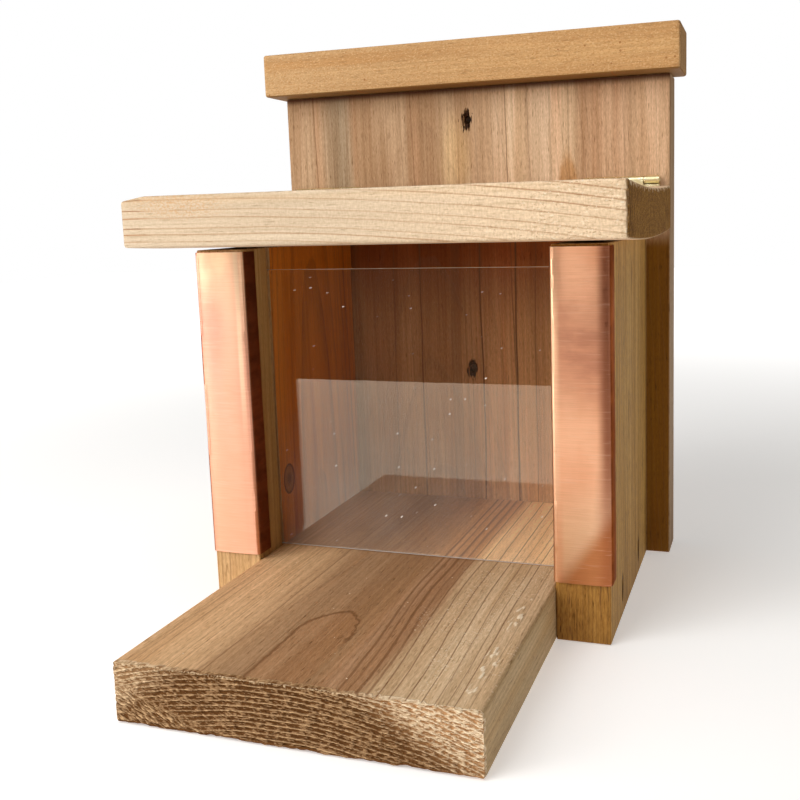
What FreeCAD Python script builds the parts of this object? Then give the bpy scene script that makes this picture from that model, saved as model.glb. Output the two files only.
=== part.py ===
import FreeCAD, Part
import os

os.makedirs("parts", exist_ok=True)
V = FreeCAD.Vector
X_AXIS = V(1, 0, 0)
Y_AXIS = V(0, 1, 0)
Z_AXIS = V(0, 0, 1)

# Squirrel feeder box. All sizes are in millimetres.
# X runs to the right, Y from the front to the back, Z up.
# The origin is on the ground, under the middle of the whole object.

# Boards
inside_width = 140.0          # width of the floor board, and of the feed space
box_depth = 117.0             # side panels, front edge to back board
side_height = 167.2
side_thickness = 23.5
floor_thickness = 23.5
platform_reach = 106.5        # platform, beyond the side panels' front edges
back_thickness = 21.0
back_side_overhang = 12.0     # back board, beyond the side panels, at each side
back_rise = 78.8              # back board, above the side panels' tops
board_arris = 0.8             # eased edges of the boards

# Cap strip
cap_height = 22.5
cap_side_overhang = 6.0       # beyond the back board, at each end
cap_front_overhang = 13.5
cap_arris = 1.8

# Lid
lid_thickness = 21.5
lid_front_overhang = 34.3     # beyond the side panels' front edges
lid_side_overhang = 12.75     # beyond the side panels, at each side
lid_cup = 2.2                 # hollow of its upper face, from front edge to back edge
lid_arris = 1.1
lid_rest_gap = 0.3            # between its belly and the side panels' tops

# Pane and its saw grooves
pane_thickness = 2.2
groove_setback = 21.3         # from the side panels' front edges
groove_depth = 6.0
pane_face_gap = 0.5           # between the pane and each wall of its groove
pane_edge_gap = 1.0           # between the pane's side and the groove's bottom
pane_foot_gap = 0.3           # between the pane and the floor board
pane_top_gap = 10.4           # from the pane's upper edge to the side panels' tops

# Copper channels on the side panels' front edges
copper_gauge = 0.6
copper_flange = 9.5
copper_bend = 1.1             # outer radius of the folds
copper_fit = 0.05             # between the sheet and the wood
copper_foot_gap = 2.6         # above the platform
copper_head_gap = 1.2         # below the side panels' tops

# Hinges
hinge_length = 38.0
hinge_inset = 6.0             # from the lid's end
hinge_rise = 3.1              # pin, above the lid's rear upper edge
knuckle_count = 5
knuckle_radius = 2.1
knuckle_gap = 0.3             # between knuckles, and from a knuckle to the wood
leaf_thickness = 1.1
leaf_drop = 17.0              # from the pin to the leaf's lower edge
leaf_corner = 1.5
pin_radius = 0.9
pin_stand_out = 0.5
fixed_bore_gap = 0.02
running_bore_gap = 0.07
leaf_screw_drop = 10.8        # from the pin to the screws
leaf_screw_inset = 8.5        # from the leaf's end to the screws

# Screws and nails
screw_length = 12.0
screw_radius = 1.15
screw_head_radius = 2.1
screw_tip = 2.5
screw_slot_reach = 1.3         # each arm of the cross, from its middle
screw_slot_width = 0.5
screw_slot_depth = 0.6
nail_length = 45.0
nail_radius = 1.0
nail_head_radius = 1.6
nail_head_thickness = 0.9
nail_tip = 3.0
tack_length = 11.0
tack_radius = 0.6
tack_tip = 1.2
tack_head_radius = 1.3
tack_head_thickness = 0.5
driven_gap = 0.05             # between a nail or screw and the wood that it's driven into
nail_sink = 0.3               # nail heads, below the wood's face

# Places of the nails
floor_nail_front = 32.3       # from the side panels' front edges
floor_nail_rear = 33.0        # from the back board
floor_nail_sink = 2.2
back_nail_low = 45.0
back_nail_top = 22.0          # from the side panels' tops
back_floor_nail_inset = 25.0  # from the floor board's edges
cap_nail_inset = 25.0         # from the back board's sides
cap_nail_count = 4            # even, so that no nail crosses the upper hanging hole
tack_rise = 19.8              # above the copper's lower edge

# Screw holes that hang the box, and the torn grain at their mouths
hang_hole_radius = 2.2
hang_hole_spacing = 133.2
hang_hole_drop = 16.8         # from the back board's top to the upper hole
hang_tear_half_width = 2.5
hang_tear_half_height = 6.2
hang_tear_depth = 1.6
nail_tear_half_width = 2.2
nail_tear_half_height = 6.4

cut_run = 1.0                 # how far a cutting tool stands out of the face that it cuts

# Places that follow
half_inside = inside_width / 2
half_box = half_inside + side_thickness
half_back = half_box + back_side_overhang
half_cap = half_back + cap_side_overhang
half_lid = half_box + lid_side_overhang
overall_depth = platform_reach + box_depth + back_thickness
platform_front = -overall_depth / 2
box_front = platform_front + platform_reach
back_face = box_front + box_depth
rear = back_face + back_thickness
back_middle = back_face + back_thickness / 2
back_top = side_height + back_rise
cap_top = back_top + cap_height
side_middle = half_inside + side_thickness / 2
floor_middle = floor_thickness / 2

pin_offset = knuckle_radius + knuckle_gap
pin_y = back_face - pin_offset
lid_rear = back_face - 2 * pin_offset
lid_front = box_front - lid_front_overhang
lid_belly = side_height + lid_rest_gap
lid_low_edge = lid_belly + lid_cup
lid_top_edge = lid_low_edge + lid_thickness
pin_z = lid_top_edge + hinge_rise
hinge_outer = half_lid - hinge_inset
hinge_inner = hinge_outer - hinge_length

groove_front = box_front + groove_setback
groove_width = pane_thickness + 2 * pane_face_gap
copper_low = floor_thickness + copper_foot_gap
copper_high = side_height - copper_head_gap


def block(x0, x1, y0, y1, z0, z1):
    return Part.makeBox(x1 - x0, y1 - y0, z1 - z0, V(x0, y0, z0))


def board(x0, x1, y0, y1, z0, z1, arris):
    """A board with all its edges eased."""
    plain = block(x0, x1, y0, y1, z0, z1)
    return plain.makeFillet(arris, plain.Edges)


def turned(points):
    """A solid turned about Z from (radius, height) points, closed along the axis."""
    corners = [V(radius, 0, height) for radius, height in points]
    face = Part.Face(Part.makePolygon(corners + [corners[0]]))
    return face.revolve(V(0, 0, 0), Z_AXIS, 360)


def driven(head_radius, head_height, flat_head, radius, length, tip, grow=0.0):
    """A nail or screw with the top of its head at the origin, pointing down Z.

    grow makes it larger all over, which gives the hole that it leaves in the wood.
    """
    neck = head_height if flat_head else 0.0
    points = [
        (0, grow),
        (head_radius + grow, grow),
        (head_radius + grow, -neck - (grow if flat_head else 0)),
        (radius + grow, -head_height - grow),
        (radius + grow, -length + tip - grow),
        (0, -length - grow),
    ]
    return turned(points)


def point_along(shape, direction, place):
    """Turns a fastener that points down Z to point along a direction, and puts it in place."""
    moved = shape.copy()
    turn = FreeCAD.Rotation(V(0, 0, -1), direction)
    moved.Placement = FreeCAD.Placement(place, turn)
    return moved


def nail(grow=0.0):
    return driven(nail_head_radius, nail_head_thickness, True, nail_radius, nail_length, nail_tip, grow)


def tack(grow=0.0):
    return driven(tack_head_radius, tack_head_thickness, True, tack_radius, tack_length, tack_tip, grow)


def screw(grow=0.0):
    """A countersunk screw, with a cross cut in its head unless it stands for its hole."""
    body = driven(screw_head_radius, leaf_thickness, False, screw_radius, screw_length, screw_tip, grow)
    if grow:
        return body
    half = screw_slot_width / 2
    for long_x, long_y in ((screw_slot_reach, half), (half, screw_slot_reach)):
        body = body.cut(block(-long_x, long_x, -long_y, long_y, -screw_slot_depth, cut_run))
    return body


def lens(half_width, half_height, depth):
    """A pit with pointed ends in an XZ plane at Y = 0, cut towards +Y."""
    ends = [V(0, 0, -half_height), V(0, 0, half_height)]
    left = Part.Arc(ends[0], V(-half_width, 0, 0), ends[1]).toShape()
    right = Part.Arc(ends[1], V(half_width, 0, 0), ends[0]).toShape()
    return Part.Face(Part.Wire([left, right])).extrude(V(0, depth, 0))


def runs_along(edge, axis):
    return edge.tangentAt(edge.FirstParameter).cross(axis).Length < 0.01


def cut_all(shape, tools):
    for tool in tools:
        shape = shape.cut(tool)
    return shape


# Fasteners: each list holds a direction and the place of the head for every piece.
floor_nail_places = [
    (V(-side, 0, 0), V(side * (half_box - floor_nail_sink), y, floor_middle))
    for side in (-1, 1)
    for y in (box_front + floor_nail_front, back_face - floor_nail_rear)
]
back_nail_high = side_height - back_nail_top
back_nail_heights = (back_nail_low, (back_nail_low + back_nail_high) / 2, back_nail_high)
back_nail_places = [
    (V(0, -1, 0), V(side * side_middle, rear - nail_sink, z))
    for side in (-1, 1)
    for z in back_nail_heights
] + [
    (V(0, -1, 0), V(side * (half_inside - back_floor_nail_inset), rear - nail_sink, floor_middle))
    for side in (-1, 1)
]
cap_nail_pitch = 2 * (half_back - cap_nail_inset) / (cap_nail_count - 1)
cap_nail_places = [
    (V(0, 0, -1), V(cap_nail_inset - half_back + index * cap_nail_pitch, back_middle, cap_top - nail_sink))
    for index in range(cap_nail_count)
]
tack_places = [
    (V(0, 1, 0), V(side * side_middle, box_front - copper_fit - copper_gauge, copper_low + tack_rise))
    for side in (-1, 1)
]
screw_xs = [
    side * x
    for side in (-1, 1)
    for x in (hinge_inner + leaf_screw_inset, hinge_outer - leaf_screw_inset)
]
screw_z = pin_z - leaf_screw_drop
back_screw_places = [(V(0, 1, 0), V(x, back_face - leaf_thickness, screw_z)) for x in screw_xs]
lid_screw_places = [(V(0, -1, 0), V(x, lid_rear + leaf_thickness, screw_z)) for x in screw_xs]


def fasteners(make, places):
    return [point_along(make(), direction, place) for direction, place in places]


def holes(make, places):
    return [point_along(make(driven_gap), direction, place) for direction, place in places]


def head_wells(places):
    """The short wells over nail heads that are driven below the wood's face."""
    wells = []
    for direction, place in places:
        depth = nail_sink + cut_run
        start = place - direction * depth
        wells.append(Part.makeCylinder(nail_head_radius + driven_gap, depth, start, direction))
    return wells


# Back board: upright, with two holes for hanging, whose mouths are torn along the grain.
def make_back_board():
    shape = board(-half_back, half_back, back_face, rear, 0, back_top, board_arris)
    for z in (back_top - hang_hole_drop, back_top - hang_hole_drop - hang_hole_spacing):
        start = V(0, back_face - cut_run, z)
        hole = Part.makeCylinder(hang_hole_radius, back_thickness + 2 * cut_run, start, Y_AXIS)
        tear = lens(hang_tear_half_width, hang_tear_half_height, hang_tear_depth + cut_run)
        tear.translate(start)
        shape = shape.cut(hole).cut(tear)
    shape = cut_all(shape, holes(nail, back_nail_places + cap_nail_places))
    shape = cut_all(shape, head_wells(back_nail_places))
    return cut_all(shape, holes(screw, back_screw_places))


# Cap strip: flush with the back board's rear, overhanging its front and both ends.
def make_top_cap():
    shape = board(-half_cap, half_cap, back_face - cap_front_overhang, rear, back_top, cap_top, cap_arris)
    shape = cut_all(shape, holes(nail, cap_nail_places))
    return cut_all(shape, head_wells(cap_nail_places))


# Floor board: the floor of the feed space and the platform in front of it.
def make_floor_board():
    shape = board(-half_inside, half_inside, platform_front, back_face, 0, floor_thickness, board_arris)
    return cut_all(shape, holes(nail, floor_nail_places + back_nail_places))


# Side panel: the saw groove for the pane runs its whole height. Low down on its outer face
# are two torn pits, where the nails into the floor board were driven deep.
def make_side_panel(side):
    xs = sorted((side * half_inside, side * half_box))
    shape = board(xs[0], xs[1], box_front, back_face, 0, side_height, board_arris)
    groove_xs = sorted((side * (half_inside - cut_run), side * (half_inside + groove_depth)))
    groove_ys = (groove_front, groove_front + groove_width)
    shape = shape.cut(block(*groove_xs, *groove_ys, -cut_run, side_height + cut_run))
    for direction, place in floor_nail_places:
        tear = lens(nail_tear_half_width, nail_tear_half_height, floor_nail_sink + cut_run)
        tear.rotate(V(0, 0, 0), Z_AXIS, 90 * side)
        tear.translate(V(side * (half_box + cut_run), place.y, place.z))
        if place.x * side > 0:
            shape = shape.cut(tear)
    return cut_all(shape, holes(nail, floor_nail_places + back_nail_places) + holes(tack, tack_places))


# Lid: a board that has cupped, hollow side up. It rests on its belly.
def make_lid():
    middle = (lid_front + lid_rear) / 2
    low = [
        V(-half_lid, lid_front, lid_low_edge),
        V(-half_lid, middle, lid_belly),
        V(-half_lid, lid_rear, lid_low_edge),
    ]
    high = [point + V(0, 0, lid_thickness) for point in low]
    outline = Part.Wire([
        Part.Arc(*low).toShape(),
        Part.makeLine(low[2], high[2]),
        Part.Arc(high[2], high[1], high[0]).toShape(),
        Part.makeLine(high[0], low[0]),
    ])
    shape = Part.Face(outline).extrude(V(2 * half_lid, 0, 0))
    shape = shape.makeFillet(lid_arris, shape.Edges)
    return cut_all(shape, holes(screw, lid_screw_places))


# Pane: a clear sheet whose sides stand in the grooves.
def make_window_pane():
    half_pane = half_inside + groove_depth - pane_edge_gap
    front = groove_front + pane_face_gap
    low = floor_thickness + pane_foot_gap
    return block(-half_pane, half_pane, front, front + pane_thickness, low, side_height - pane_top_gap)


# Copper channel: one strip folded round the front edge of a side panel.
def make_copper_edge(side):
    inner = sorted((side * (half_inside - copper_fit), side * (half_box + copper_fit)))
    outer = (inner[0] - copper_gauge, inner[1] + copper_gauge)
    face = box_front - copper_fit
    tail = box_front + copper_flange

    def folded(x0, x1, y0, y1, low, high, radius):
        solid = block(x0, x1, y0, y1, low, high)
        upright = [edge for edge in solid.Edges if runs_along(edge, Z_AXIS)]
        front_edges = [edge for edge in upright if edge.CenterOfMass.y < solid.CenterOfMass.y]
        return solid.makeFillet(radius, front_edges)

    skin = folded(*outer, face - copper_gauge, tail, copper_low, copper_high, copper_bend)
    inner_bend = copper_bend - copper_gauge
    core = folded(*inner, face, tail + cut_run, copper_low - cut_run, copper_high + cut_run, inner_bend)
    return cut_all(skin.cut(core), holes(tack, tack_places))


# Hinge leaf: a plate with tabs that run up to its own knuckles. The leaf on the back board
# holds the first, third and fifth knuckle, the leaf on the lid the second and fourth.
def make_leaf(side, on_lid):
    xs = sorted((side * hinge_inner, side * hinge_outer))
    if on_lid:
        ys = (lid_rear, lid_rear + leaf_thickness)
    else:
        ys = (back_face - leaf_thickness, back_face)
    plate_top = pin_z - knuckle_radius - knuckle_gap
    plate = block(*xs, *ys, pin_z - leaf_drop, plate_top)
    plate_middle = plate.CenterOfMass.z
    corners = [edge for edge in plate.Edges if runs_along(edge, Y_AXIS)]
    low_corners = [edge for edge in corners if edge.CenterOfMass.z < plate_middle]
    shape = plate.makeFillet(leaf_corner, low_corners)
    knuckle_length = (hinge_length - (knuckle_count - 1) * knuckle_gap) / knuckle_count
    own = range(1, knuckle_count, 2) if on_lid else range(0, knuckle_count, 2)
    for index in own:
        x0 = xs[0] + index * (knuckle_length + knuckle_gap)
        barrel = Part.makeCylinder(knuckle_radius, knuckle_length, V(x0, pin_y, pin_z), X_AXIS)
        tab = block(x0, x0 + knuckle_length, *ys, plate_top - cut_run, pin_z)
        shape = shape.fuse([barrel, tab])
    gap = running_bore_gap if on_lid else fixed_bore_gap
    bore_start = V(xs[0] - cut_run, pin_y, pin_z)
    bore = Part.makeCylinder(pin_radius + gap, hinge_length + 2 * cut_run, bore_start, X_AXIS)
    places = lid_screw_places if on_lid else back_screw_places
    shape = shape.cut(bore).removeSplitter()
    return cut_all(shape, holes(screw, places))


def make_hinge_pin(side):
    length = hinge_length + 2 * pin_stand_out
    start = min(side * hinge_inner, side * hinge_outer) - pin_stand_out
    pin = Part.makeCylinder(pin_radius, length, V(start, pin_y, pin_z), X_AXIS)
    rims = [edge for edge in pin.Edges if edge.Closed]
    return pin.makeChamfer(pin_stand_out / 2, rims)


parts = {
    "back_board": make_back_board(),
    "top_cap": make_top_cap(),
    "floor_board": make_floor_board(),
    "lid": make_lid(),
    "window_pane": make_window_pane(),
    "back_leaf_screws": Part.makeCompound(fasteners(screw, back_screw_places)),
    "lid_leaf_screws": Part.makeCompound(fasteners(screw, lid_screw_places)),
    "floor_nails": Part.makeCompound(fasteners(nail, floor_nail_places)),
    "back_nails": Part.makeCompound(fasteners(nail, back_nail_places)),
    "cap_nails": Part.makeCompound(fasteners(nail, cap_nail_places)),
    "copper_tacks": Part.makeCompound(fasteners(tack, tack_places)),
}
for name, side in (("left", -1), ("right", 1)):
    parts[name + "_side_panel"] = make_side_panel(side)
    parts[name + "_copper_edge"] = make_copper_edge(side)
    parts[name + "_back_leaf"] = make_leaf(side, on_lid=False)
    parts[name + "_lid_leaf"] = make_leaf(side, on_lid=True)
    parts[name + "_hinge_pin"] = make_hinge_pin(side)

for node, shape in parts.items():
    shape.exportStep("parts/" + node + ".step")
    print(node, "solids", len(shape.Solids), "valid", shape.isValid(), "volume", round(shape.Volume, 1))
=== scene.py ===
import math
import bmesh
import bpy
from mathutils import Matrix, Vector


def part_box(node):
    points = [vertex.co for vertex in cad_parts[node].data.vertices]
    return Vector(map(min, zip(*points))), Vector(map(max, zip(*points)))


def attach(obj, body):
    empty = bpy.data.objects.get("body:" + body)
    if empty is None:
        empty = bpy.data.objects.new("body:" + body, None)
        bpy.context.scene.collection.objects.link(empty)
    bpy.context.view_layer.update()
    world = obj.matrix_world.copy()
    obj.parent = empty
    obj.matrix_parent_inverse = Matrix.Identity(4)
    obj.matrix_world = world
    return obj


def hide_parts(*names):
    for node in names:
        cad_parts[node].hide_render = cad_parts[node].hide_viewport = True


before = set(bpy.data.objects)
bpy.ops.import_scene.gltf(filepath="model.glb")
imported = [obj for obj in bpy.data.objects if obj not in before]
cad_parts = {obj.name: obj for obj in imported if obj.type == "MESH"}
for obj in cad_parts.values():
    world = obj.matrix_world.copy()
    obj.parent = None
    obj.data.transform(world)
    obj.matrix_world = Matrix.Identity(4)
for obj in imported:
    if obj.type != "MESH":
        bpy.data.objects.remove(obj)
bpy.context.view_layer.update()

# Floor board: one planed cedar board, its grain running from front to back, that is both the
# floor of the feed space and the platform before it. Its front end is left rough from the saw,
# its lower front edge is ragged, and splinters have lifted along its right edge.
MM = 0.001
tree = None


def arithmetic(operation):
    """A sum, a product or the like of two values."""
    return lambda first, second: reckon(operation, first, second)


class Varying:
    """What varies over a surface: a shader node's output that is reckoned with like a number."""

    def __init__(self, socket):
        self.socket = socket

    def __rsub__(self, other):
        return reckon("SUBTRACT", other, self)

    def __abs__(self):
        return reckon("ABSOLUTE", self)

    __add__ = __radd__ = arithmetic("ADD")
    __mul__ = __rmul__ = arithmetic("MULTIPLY")
    __sub__ = arithmetic("SUBTRACT")
    __truediv__ = arithmetic("DIVIDE")
    __pow__ = arithmetic("POWER")


def plug(socket, value):
    """Joins a node's output to a socket, or sets the socket to a number, place or colour."""
    if isinstance(value, Varying):
        value = value.socket
    if isinstance(value, bpy.types.NodeSocket):
        tree.links.new(value, socket)
    elif socket.type == "RGBA":
        socket.default_value = (*value, 1)
    else:
        socket.default_value = value


def feed(node, **looks):
    """Plugs in values by the names of a node's sockets."""
    for look, value in looks.items():
        plug(node.inputs[look.replace("_", " ")], value)


def add_node(kind, sockets=None, **settings):
    """Adds a shader node to the material or group that is being made."""
    made = tree.nodes.new("ShaderNode" + kind)
    for setting, value in settings.items():
        setattr(made, setting, value)
    for socket, value in (sockets or {}).items():
        plug(made.inputs[socket], value)
    return made


def take(kind, sockets, output=0, **settings):
    """Adds a shader node and takes one of its outputs."""
    return Varying(add_node(kind, sockets, **settings).outputs[output])


def reckon(operation, *values):
    return take("Math", dict(enumerate(values)), operation=operation)


def larger(first, second):
    return reckon("MAXIMUM", first, second)


def axes(vector):
    """The three parts of a direction or a colour."""
    return [Varying(part) for part in add_node("SeparateXYZ", {0: vector}).outputs]


def measure(place):
    """The three parts of a place, in millimetres."""
    return [part / MM for part in axes(place)]


def ramp(value, start, end, low=0.0, high=1.0):
    """Goes smoothly from low to high while a value goes up or down from start to end."""
    sockets = {"Value": value, "From Min": start, "From Max": end, "To Min": low, "To Max": high}
    return take("MapRange", sockets, interpolation_type="SMOOTHSTEP")


def mottle(place, scale, detail=2.0, squeeze=None, shift=(0, 0, 0), output=0):
    """Soft random patches, of which scale go to a metre, and fewer along a squeezed axis."""
    if squeeze:
        place = take("Mapping", {"Vector": place, "Scale": squeeze, "Location": shift})
    return take("TexNoise", {"Vector": place, "Scale": scale, "Detail": detail}, output)


def mix(share, first, second, blend="MIX"):
    """Lays a share of the second colour over the first."""
    sockets = {0: share, 6: first, 7: second}
    return take("Mix", sockets, 2, data_type="RGBA", blend_type=blend)


def paint(colour, *coats):
    """Lays coats over a colour in turn, each with its share and its own colour."""
    for share, coat in coats:
        colour = mix(share, colour, coat)
    return colour


def tint(colour, by):
    return mix(1.0, colour, by, "MULTIPLY")


def warm_grey(value):
    """A number as a grey to tint with, whose darks are warm as they are on wood."""
    return take("CombineColor", {"Red": value, "Green": value ** 1.2, "Blue": value ** 1.5})


def relief(height, strength, depth):
    """The shader's normal over a fine relief of a depth in metres."""
    return take("Bump", {"Height": height, "Strength": strength, "Distance": depth})


def make_group(name, inputs, outputs):
    """A shader node group with named inputs, each with its usual value, and named outputs."""
    global tree
    tree = bpy.data.node_groups.new(name, "ShaderNodeTree")
    for direction, sockets in (("INPUT", inputs), ("OUTPUT", outputs)):
        for socket, value in sockets.items():
            kind = {3: "Vector", 4: "Color"}[len(value)] if isinstance(value, tuple) else "Float"
            made = tree.interface.new_socket(socket, in_out=direction, socket_type="NodeSocket" + kind)
            made.default_value = value
    given = tree.nodes.new("NodeGroupInput").outputs
    return {socket: Varying(given[socket]) for socket in inputs}, tree.nodes.new("NodeGroupOutput")


def make_cedar_group():
    """Sawn cedar: year rings round a heart that lies outside the board, fibres and end grain.

    Place has its Z along the grain, its X and Y across it, and Facing is the surface's normal
    turned in the same way. Crisp is how late in each year's ring the dark line starts.
    """
    given, result = make_group(
        "cedar",
        {
            "Place": (0, 0, 0), "Facing": (0, 0, 0), "Heart": (0, 0.1, 0), "Lean": (0, 0, 0),
            "Bow": (0, 0, 0), "Seed": 0, "Ring": 2 * MM, "Drift": 1 * MM, "Crisp": 0.8, "Line": 0.6,
            "Fibre": 1, "Band": 0.15, "Pale": (0.6, 0.4, 0.2, 1), "Deep": (0.5, 0.3, 0.15, 1),
            "Stain": (0.5, 0.3, 0.2, 1), "Latewood": (0.3, 0.15, 0.07, 1),
            "End Pale": (0.7, 0.45, 0.22, 1), "End Deep": (0.25, 0.12, 0.04, 1), "End Level": 0.45,
            "End Torn": 2.6, "End Ridge": 0.5,
        },
        {"Color": (0, 0, 0, 1), "Height": 0, "Roughness": 0},
    )
    seed = take("CombineXYZ", {axis: given["Seed"] for axis in range(3)})
    place = take("VectorMath", {0: given["Place"], 1: seed})
    split = axes(given["Place"])
    heart = axes(given["Heart"])
    lean = axes(given["Lean"])
    bow = axes(given["Bow"])
    wander = axes(mottle(place, 17, 1.5, (1, 1, 0.35), output=1))
    tremble = axes(mottle(place, 160, 1, (1, 1, 0.3), output=1))
    square = []
    for axis in (0, 1):
        bend = split[2] * bow[axis] + lean[axis]
        across = split[axis] - heart[axis] - split[2] * bend
        shift = 0.12 * (tremble[axis] - 0.5) + wander[axis] - 0.5
        across = shift * given["Drift"] + across
        square.append(across * across)
    radius = reckon("SQRT", square[0] + square[1])
    count = radius / given["Ring"]
    uneven = take("TexNoise", {"W": 0.4 * count, "Scale": 1.0, "Detail": 1.0}, noise_dimensions="1D")
    count = 1.2 * uneven + count
    year = reckon("FRACT", count)
    number = take("TexWhiteNoise", {"W": reckon("FLOOR", count)}, noise_dimensions="1D")
    late = ramp(year, given["Crisp"], 0.95) * ramp(year, 1.0, 0.97)
    fade = ramp(mottle(place, 110, 2, (1, 1, 0.3)), 0.3, 0.6, 0.5, 1.0)
    late = late * ramp(number, 0, 1, 0.4, 1.0) * fade
    # Colour of the wood between the dark lines: broad streaks of two shades and a stain
    broad = ramp(mottle(place, 60, 3, (1, 1, 0.06)), 0.5 - given["Band"], 0.5 + given["Band"])
    stained = ramp(mottle(place, 90, 3, (1.3, 1.3, 0.05), (3, 1, 2)), 0.5, 0.72)
    colour = paint(given["Pale"], (broad, given["Deep"]), (stained, given["Stain"]))
    colour = mix(late * given["Line"], colour, given["Latewood"])
    # Short flecks and long fibres, and the dark pores among them
    fleck = mottle(place, 2200, 3, (1, 1, 0.2))
    thread = mottle(place, 800, 3, (1, 1, 0.015))
    pore = ramp(mottle(place, 1500, 2, (1, 1, 0.1), (1, 5, 3)), 0.6, 0.72)
    shade = 0.5 * (fleck - 0.5) + 0.5 * (thread - 0.5) - 0.25 * pore
    shade = shade * given["Fibre"] + 1.0
    colour = tint(colour, warm_grey(shade))
    # End grain: palest on the hard ridges, and darkest where the soft wood between is torn out, the more so
    # the deeper the pit: the torn wood's own colour and painted shade in the pits both
    facing = axes(given["Facing"])[2]
    end = ramp(abs(facing), 0.5, 0.85)
    depth = add_node("Attribute", attribute_name="depth").outputs["Fac"]
    end = larger(end, ramp(depth, 0.02, 0.06))
    torn = mottle(take("CombineXYZ", {0: 0.35 * split[0], 1: radius}), 2300, 3)
    pale = given["End Level"] - ramp(depth, 0.03, 0.13, 0, 0.58) - ramp(depth, 0.27, 0.45, 0, 0.5)
    pale = (torn - 0.5) * given["End Torn"] + pale
    ridge = ramp(reckon("FRACT", 0.5 * count), 0.3, 0.9)
    pale = (ridge - 0.6) * given["End Ridge"] + pale
    pale = take("Clamp", {"Value": pale})
    end_colour = mix(pale, given["End Deep"], given["End Pale"])
    height = 0.3 * late + 0.45 * fleck - 0.35 * pore
    height = take("Mix", {0: end, 2: height, 3: pale})
    dull = 0.22 * end + ramp(fleck, 0.3, 0.7, 0.58, 0.72) - 0.08 * late
    feed(result, Color=mix(end, colour, end_colour), Height=height, Roughness=dull)
    return tree


cedar_group = make_cedar_group()
TURN = {"X": (1, 2, 0), "Y": (0, 2, 1), "Z": (0, 1, 2)}


def turn_to_grain(vector, grain):
    """Renames a vector's axes so that its Z runs along the board's grain."""
    split = axes(vector)
    return take("CombineXYZ", dict(enumerate(split[i] for i in TURN[grain])))


def new_material(name):
    """Starts a material. The nodes added after this go into it."""
    global tree
    material = bpy.data.materials.new(name)
    material.use_nodes = True
    tree = material.node_tree
    return material, tree.nodes["Principled BSDF"]


def start_cedar(name, grain, **looks):
    """A cedar material, with its shader, its place and facing by the grain, and its cedar."""
    material, shader = new_material(name)
    here = add_node("TexCoord").outputs
    wood = add_node("Group", node_tree=cedar_group)
    place = turn_to_grain(here["Object"], grain)
    facing = turn_to_grain(here["Normal"], grain)
    feed(wood, Place=place, Facing=facing, **looks)
    feed(shader, Specular_IOR_Level=0.2, Specular_Tint=(1.0, 0.82, 0.6))
    return material, shader, place, facing, wood


def finish_cedar(shader, wood, colour, depth=0.3 * MM):
    """Feeds the shader with the finished colour, and with the cedar's dullness and relief."""
    feed(shader, Base_Color=colour, Roughness=wood.outputs["Roughness"])
    feed(shader, Normal=relief(wood.outputs["Height"], 0.8, depth))


def between(value, start, end, soft):
    """1 where a value lies between two places, and 0 beyond them, with soft edges."""
    rise = ramp(value, start - soft, start + soft)
    return rise * ramp(value, end + soft, end - soft)


def growth_lines(value, lines, soft=0.3):
    """The most distinct year lines, each with its place, half its width and its strength, in mm."""
    drawn = 0.0
    for at, half_width, strength in lines:
        line = between(value, at - half_width, at + half_width, soft)
        drawn = larger(drawn, strength * line)
    return drawn


def waver(place, scale, size):
    """A small sideways shift that changes slowly along the grain."""
    return size * (mottle(place, scale, 2, (1, 1, 0.25)) - 0.5)


def strew(flat, number, size, share):
    """Small specks over a flat place, of which a number go to a millimetre and a share is kept."""
    cell = add_node("TexVoronoi", {"Vector": flat, "Scale": number}, voronoi_dimensions="2D").outputs
    kept = axes(cell["Color"])
    size = size * ramp(kept[1], 0, 1, 0.4, 1.3)
    inside = reckon("LESS_THAN", cell["Distance"], size)
    return inside * reckon("LESS_THAN", kept[0], share)


def make_speck_group():
    """Small specks, such as crumbs or resin, for more than one board."""
    inputs = {"Place": (0, 0, 0), "Number": 0.15, "Size": 0.06, "Share": 0.3}
    given, result = make_group("specks", inputs, {"Mask": 0})
    feed(result, Mask=strew(given["Place"], given["Number"], given["Size"], given["Share"]))
    return tree


speck_group = make_speck_group()


def specks(first, second, number, size, share):
    """Specks over the two axes that a surface runs along."""
    made = add_node("Group", node_tree=speck_group)
    feed(made, Place=take("CombineXYZ", {0: first, 1: second}), Number=number, Size=size, Share=share)
    return Varying(made.outputs["Mask"])


def set_mode(mode):
    bpy.ops.object.mode_set(mode=mode)


def pick(kind, test):
    """Selects those vertices, edges or faces of the piece in edit mode that pass a test."""
    bpy.ops.mesh.select_all(action="DESELECT")
    mesh = bmesh.from_edit_mesh(bpy.context.object.data)
    for part in getattr(mesh, kind):
        if test(part):
            part.select_set(True)
    bmesh.update_edit_mesh(bpy.context.object.data)


def slice_along(axis, count):
    """Cuts the piece in edit mode into equal slices, square to an axis."""

    def runs_along(edge):
        run = edge.verts[1].co - edge.verts[0].co
        return run.length > 4 * MM and abs(run[axis]) > 0.999 * run.length

    pick("edges", runs_along)
    bpy.ops.mesh.subdivide(number_cuts=count - 1)


def start_piece(name, add, scale=(1, 1, 1), **shape):
    """Adds a primitive and leaves it in edit mode, with its place and scale in its mesh."""
    bpy.ops.object.select_all(action="DESELECT")
    add(**shape)
    bpy.context.object.scale = scale
    bpy.ops.object.transform_apply(location=True, rotation=True, scale=True)
    piece = bpy.context.object
    piece.name = piece.data.name = name
    set_mode("EDIT")
    bpy.ops.mesh.select_mode(type="EDGE")
    return piece


def start_box(name, low, high):
    """Adds a box between two corners and leaves it in edit mode."""
    middle = (low + high) / 2
    return start_piece(name, bpy.ops.mesh.primitive_cube_add, size=1, location=middle, scale=high - low)


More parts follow.
